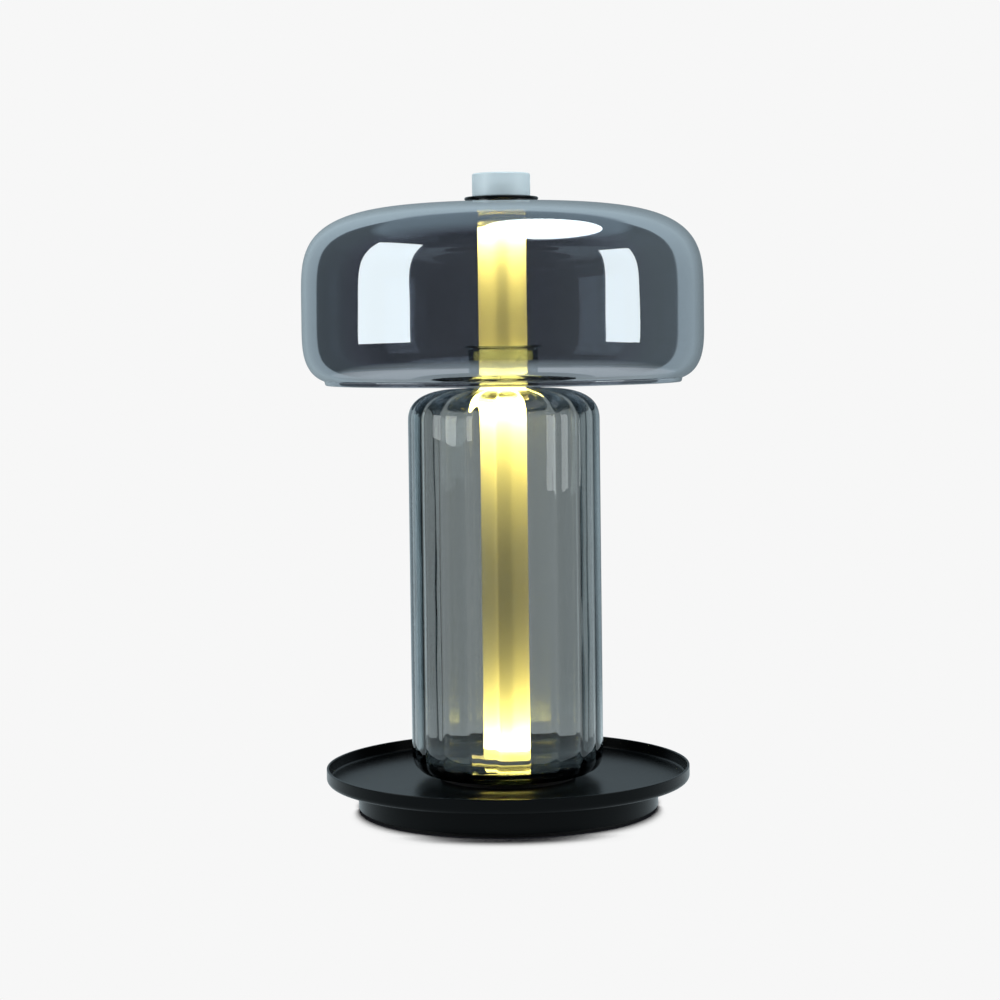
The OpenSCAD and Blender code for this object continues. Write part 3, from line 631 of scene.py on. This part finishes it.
inward = add(group, "ShaderNodeMath", {"operation": "MULTIPLY"}, i0=depth.outputs[0], i1=-1.0)
normal = add(group, "GeometryNodeInputNormal")
offset = add(group, "ShaderNodeVectorMath", {"operation": "SCALE"}, i0=normal.outputs["Normal"],
             Scale=inward.outputs[0])
pushed = add(group, "GeometryNodeSetPosition", Geometry=given["Geometry"],
             Offset=offset.outputs["Vector"])
body = grown("ribbed_body", body_mesh, group, sizes, pushed.outputs["Geometry"], material)
stand_in(body, "root", "body_glass")

# Seal and pad of the shade: soft clear silicone, moulded. The seal lies under the shade's glass and
# the pad on top of it, under the clamp ring. They are slightly dull, in patches of 3 mm.
haze_mm = 2.8571
material, tree = new_material("clear_silicone")
place = add(tree, "ShaderNodeTexCoord").outputs["Object"]
haze = add(tree, "ShaderNodeTexNoise", Vector=place, Scale=1000 / haze_mm, Detail=2.0)
gloss = add(tree, "ShaderNodeMapRange", Value=haze.outputs["Fac"], To_Min=0.05, To_Max=0.12)
silicone = add(tree, "ShaderNodeBsdfPrincipled", Base_Color=linear("#eef1f1"), IOR=1.41,
               Roughness=gloss.outputs["Result"], Transmission_Weight=0.95)
add(tree, "ShaderNodeOutputMaterial", Surface=silicone.outputs["BSDF"])
finish_nodes(material, "shade_seal", "shade_pad")

# Seals at the tube: the same silicone, as a ring on the body's floor and one in its neck. They
# carry the tube's yellow light, which is given to them as a glow of their own, in patches of 3 mm.
haze_mm = 2.8571
material, tree = new_material("lit_silicone")
place = add(tree, "ShaderNodeTexCoord").outputs["Object"]
haze = add(tree, "ShaderNodeTexNoise", Vector=place, Scale=1000 / haze_mm, Detail=2.0)
light = add(tree, "ShaderNodeMapRange", Value=haze.outputs["Fac"], To_Min=0.5, To_Max=0.8)
silicone = add(tree, "ShaderNodeBsdfPrincipled", Base_Color=linear("#eef1f1"), IOR=1.41,
               Roughness=0.08, Transmission_Weight=0.95, Emission_Color=linear("#ffe87e"),
               Emission_Strength=light.outputs["Result"])
add(tree, "ShaderNodeOutputMaterial", Surface=silicone.outputs["BSDF"])
finish_nodes(material, "body_seal", "neck_ring")

# Holders: turned aluminium, which carry the tube and the boards. The tool leaves fine rings, drawn
# here 0.6 mm apart so that they show.
ring_gap_mm = 0.6
material, tree = new_material("turned_aluminium")
place = add(tree, "ShaderNodeTexCoord").outputs["Object"]
xyz = add(tree, "ShaderNodeSeparateXYZ", Vector=place)
flat = add(tree, "ShaderNodeCombineXYZ", X=xyz.outputs["X"], Y=xyz.outputs["Y"])
radius = add(tree, "ShaderNodeVectorMath", {"operation": "LENGTH"}, i0=flat.outputs[0])
along = add(tree, "ShaderNodeMath", {"operation": "ADD"}, i0=radius.outputs["Value"],
            i1=xyz.outputs["Z"])
feed = add(tree, "ShaderNodeMath", {"operation": "MULTIPLY"}, i0=along.outputs[0],
           i1=math.tau * 1000 / ring_gap_mm)
rings = add(tree, "ShaderNodeMath", {"operation": "SINE"}, i0=feed.outputs[0])
bump = add(tree, "ShaderNodeBump", Strength=0.2, Distance=0.0001, Height=rings.outputs[0])
aluminium = add(tree, "ShaderNodeBsdfPrincipled", Base_Color=linear("#c9cbcd"), Metallic=0.4,
                Roughness=0.5, Normal=bump.outputs["Normal"])
add(tree, "ShaderNodeOutputMaterial", Surface=aluminium.outputs["BSDF"])
finish_nodes(material, "lower_holder", "middle_holder", "upper_holder")

# Boards: three round aluminium boards with white solder mask, six light sources on each. The masks
# have a fine speckle, drawn here 1 mm across, and glow with the light of their sources.
speckle_mm = 1.1111
material, tree = new_material("white_solder_mask")
place = add(tree, "ShaderNodeTexCoord").outputs["Object"]
speckle = add(tree, "ShaderNodeTexNoise", Vector=place, Scale=1000 / speckle_mm, Detail=2.0)
tone = add(tree, "ShaderNodeValToRGB", Fac=speckle.outputs["Fac"])
tone.color_ramp.elements[0].color = linear("#e2e0d6")
tone.color_ramp.elements[1].color = linear("#f4f2ea")
mask = add(tree, "ShaderNodeBsdfPrincipled", Base_Color=tone.outputs["Color"], Roughness=0.4,
           Emission_Color=linear("#ffedb3"), Emission_Strength=1.5)
add(tree, "ShaderNodeOutputMaterial", Surface=mask.outputs["BSDF"])
finish_nodes(material, "lower_led_board", "middle_led_board", "upper_led_board")

# Tube: extruded acrylic, sandblasted to frost it, 30 mm across with a 2 mm wall. It carries the
# light, brightest close to the three boards and falling off with the distance from each. The grain
# of the frost is too fine to show, so it is drawn 0.6 mm across.
tube_r = 15.0
tube_in = 13.0
tube_low = 31.5
tube_high = 370.0
tube_edge = 0.4
tube_bevel = 0.3
tube_rings = 200
lower_board = 36.0
middle_board = 270.0
upper_board = 365.0
lit_from = 38.5
lit_to = 366.0
neck_end = 287.0
lip_height = 288.0
holder_glow = 0.9
neck_glow = 1.6
top_glow = 0.25
holder_shadow = 16


def faded(distance, glows):
    """Adds up glows that fall off, each with its strength and the length over which it does."""
    return sum(strength * math.exp(-distance / length) for strength, length in glows)


def glow_at(z):
    """How brightly the tube glows at a height. Where a holder fills it, it is dim."""
    if z > lit_to:
        return top_glow
    if z < lit_from:
        return holder_glow
    light = faded(z - lower_board, ((25, 4), (7.5, 11), (2.2, 25), (0.2, 45)))
    if z <= middle_board:
        down = middle_board - z
        shown = min(1, max(0.1, down / holder_shadow))
        light += shown * faded(down, ((48, 10), (4.7, 25)))
        light += faded(down, ((0.67, 45),))
    elif z < neck_end:
        light += neck_glow
    else:
        light += faded(z - lip_height, ((0.4, 10),))
    return light + faded(max(upper_board - z, 0), ((32, 8), (2.7, 12), (3.1, 40)))


first_ring = tube_low + tube_edge
ring_span = tube_high - tube_low - 2 * tube_edge
tube_heights = [first_ring + ring_span * i / tube_rings for i in range(tube_rings + 1)]
tube_profile = (
    [(tube_in + tube_bevel, tube_low), (tube_r - tube_edge, tube_low)]
    + [(tube_r, z) for z in tube_heights]
    + [(tube_r - tube_edge, tube_high), (tube_in + tube_bevel, tube_high)]
    + [(tube_in, z) for z in reversed(tube_heights)])
tube_mesh = lathe("frosted_tube", tube_profile, 72, 40)
glow = tube_mesh.attributes.new("glow", "FLOAT", "POINT")
for vertex in tube_mesh.vertices:
    glow.data[vertex.index].value = glow_at(vertex.co.z * 1000)
frost_mm = 0.625
material, tree = new_material("frosted_acrylic")
place = add(tree, "ShaderNodeTexCoord").outputs["Object"]
frost = add(tree, "ShaderNodeTexNoise", Vector=place, Scale=1000 / frost_mm, Detail=2.0)
bump = add(tree, "ShaderNodeBump", Strength=0.15, Distance=0.0001, Height=frost.outputs["Fac"])
strength = add(tree, "ShaderNodeAttribute", {"attribute_name": "glow"})
acrylic = add(tree, "ShaderNodeBsdfPrincipled", Base_Color=linear("#f4efdc"), Roughness=0.28,
              IOR=1.49, Transmission_Weight=0.65, Normal=bump.outputs["Normal"],
              Emission_Color=linear("#ffe87e"), Emission_Strength=strength.outputs["Fac"])
add(tree, "ShaderNodeOutputMaterial", Surface=acrylic.outputs["BSDF"])
tube_mesh.materials.append(material)
stand_in(new_object("glowing_tube", tube_mesh), "root", "frosted_tube")


# Shade: smoked glass, blown and half mirrored by a thin metal film, 3 mm thick. It has a flat seat,
# a flattened dome, an upright side and a lower part that turns in to a straight lip. Blowing leaves
# long waves of 71 mm in it, which bend the edges of the reflections.
def moved_in(points, distance):
    """The same curve, moved by a distance to the right of its direction."""
    result = []
    for i, point in enumerate(points):
        before = points[max(i - 1, 0)]
        after = points[min(i + 1, len(points) - 1)]
        along_r = after[0] - before[0]
        along_z = after[1] - before[1]
        length = math.hypot(along_r, along_z)
        result.append((point[0] + distance * along_z / length,
                       point[1] - distance * along_r / length))
    return result


shade_r = 124.5
shade_wall = 3.0
shade_top = 376.0
shade_rim = 264.6
shade_hole_r = 5.25
seat_start = 6.6
seat_end = 23.0
dome_start = 25
dome_power = 3.75
side_high = 314.0
side_heights = (309.0, 304.5)
side_low = 300.0
tuck_w = 28.5
tuck_power = 3
rim_in = 13.7
lip_h = 2.6
lip_straight = 2.2
lip_taper = 0.25
polish = 1.2
tuck_turn = math.acos(((tuck_w - rim_in) / tuck_w) ** (tuck_power / 2))
tuck_drop = (side_low - shade_rim - lip_h) / math.sin(tuck_turn) ** (2 / tuck_power)
dome = [point for point in squircle(0, shade_r, side_high, shade_top, dome_power, 90, 0, 90)
        if point[0] > dome_start]
tuck = squircle(shade_r - tuck_w, shade_r, side_low, side_low - tuck_drop, tuck_power, 0,
                math.degrees(tuck_turn), 24)
rim_r = shade_r - rim_in
rim_in_r = rim_r - shade_wall
inner_top = shade_top - shade_wall
shade_outer = (
    [(seat_start, shade_top), (seat_end, shade_top)]
    + dome
    + [(shade_r, z) for z in side_heights]
    + tuck
    + [(rim_r, shade_rim + lip_straight), (rim_r - lip_taper, shade_rim + polish)])
shade_inner = moved_in(shade_outer, shade_wall)
shade_inner[0] = (seat_start, inner_top)
shade_inner[-2] = (rim_in_r, shade_rim + lip_straight)
shade_inner[-1] = (rim_in_r, shade_rim + polish)
rim = (arc((rim_r - lip_taper - polish, shade_rim + polish), polish, 0, -90, 5)[1:]
       + arc((rim_in_r + polish, shade_rim + polish), polish, -90, -180, 5)[:-1])
hole = (arc((shade_hole_r + polish, inner_top + polish), polish, -90, -180, 5)[1:]
        + arc((shade_hole_r + polish, shade_top - polish), polish, 180, 90, 5)[:-1])
shade_mesh = lathe("shade", shade_outer + rim + shade_inner[::-1] + hole, 288, 60)
wave_mm = 71.429
material, tree = new_material("half_mirrored_smoked_glass")
place = add(tree, "ShaderNodeTexCoord").outputs["Object"]
waves = add(tree, "ShaderNodeTexNoise", Vector=place, Scale=1000 / wave_mm, Detail=1.0)
bump = add(tree, "ShaderNodeBump", Strength=0.25, Distance=0.002, Height=waves.outputs["Fac"])
glass = add(tree, "ShaderNodeBsdfPrincipled", Base_Color=linear("#edf1f6"), Metallic=0.22,
            Roughness=0.0, IOR=1.5, Transmission_Weight=1.0, Normal=bump.outputs["Normal"])
smoke = add(tree, "ShaderNodeVolumeAbsorption", Color=linear("#4d5a6e"), Density=370.0)
add(tree, "ShaderNodeOutputMaterial", Surface=glass.outputs["BSDF"], Volume=smoke.outputs["Volume"])
shade_mesh.materials.append(material)
stand_in(new_object("mirrored_shade", shade_mesh), "shade", "shade_glass")

# Bushing: turned brass, glued into the cap. Its flange keeps the clamp ring on. The tool's rings
# are drawn 0.5 mm apart so that they show, and catch the light in fine lines.
ring_gap_mm = 0.5
material, tree = new_material("turned_brass")
place = add(tree, "ShaderNodeTexCoord").outputs["Object"]
height = add(tree, "ShaderNodeSeparateXYZ", Vector=place).outputs["Z"]
feed = add(tree, "ShaderNodeMath", {"operation": "MULTIPLY"}, i0=height,
           i1=math.tau * 1000 / ring_gap_mm)
rings = add(tree, "ShaderNodeMath", {"operation": "SINE"}, i0=feed.outputs[0])
bump = add(tree, "ShaderNodeBump", Strength=0.2, Distance=0.0001, Height=rings.outputs[0])
brass = add(tree, "ShaderNodeBsdfPrincipled", Base_Color=linear("#b99a5b"), Metallic=1.0,
            Roughness=0.32, Normal=bump.outputs["Normal"])
add(tree, "ShaderNodeOutputMaterial", Surface=brass.outputs["BSDF"])
finish_nodes(material, "cap_bushing")

# Cap: a solid disc of pressed glass, etched all over, that is screwed down on the stem. Its frost
# blurs the bushing inside and gives it a pale, even look. It is drawn with a grain of 1 mm.
cap_low = 380.0
cap_high = 394.5
cap_r = 18.0
cap_edge = 1
socket_r = 5.6
socket_h = 8.1
frost_mm = 1.1111
cap_profile = (
    [(0, cap_low + socket_h), (socket_r, cap_low + socket_h), (socket_r, cap_low + 0.3),
     (socket_r + 0.3, cap_low)]
    + arc((cap_r - cap_edge, cap_low + cap_edge), cap_edge, -90, 0, 6)
    + arc((cap_r - cap_edge, cap_high - cap_edge), cap_edge, 0, 90, 6)
    + [(8, cap_high), (0, cap_high)])
cap_mesh = lathe("cap", cap_profile, 128, 40)
material, tree = new_material("frosted_glass")
place = add(tree, "ShaderNodeTexCoord").outputs["Object"]
frost = add(tree, "ShaderNodeTexNoise", Vector=place, Scale=1000 / frost_mm, Detail=3.0)
bump = add(tree, "ShaderNodeBump", Strength=0.2, Distance=0.0002, Height=frost.outputs["Fac"])
glass = add(tree, "ShaderNodeBsdfPrincipled", Base_Color=linear("#d3e4ec"), Roughness=0.45,
            IOR=1.5, Transmission_Weight=0.45, Normal=bump.outputs["Normal"])
smoke = add(tree, "ShaderNodeVolumeAbsorption", Color=linear("#9fb7c4"), Density=10.0)
add(tree, "ShaderNodeOutputMaterial", Surface=glass.outputs["BSDF"], Volume=smoke.outputs["Volume"])
cap_mesh.materials.append(material)
stand_in(new_object("frosted_glass_cap", cap_mesh), "finial", "frosted_cap")
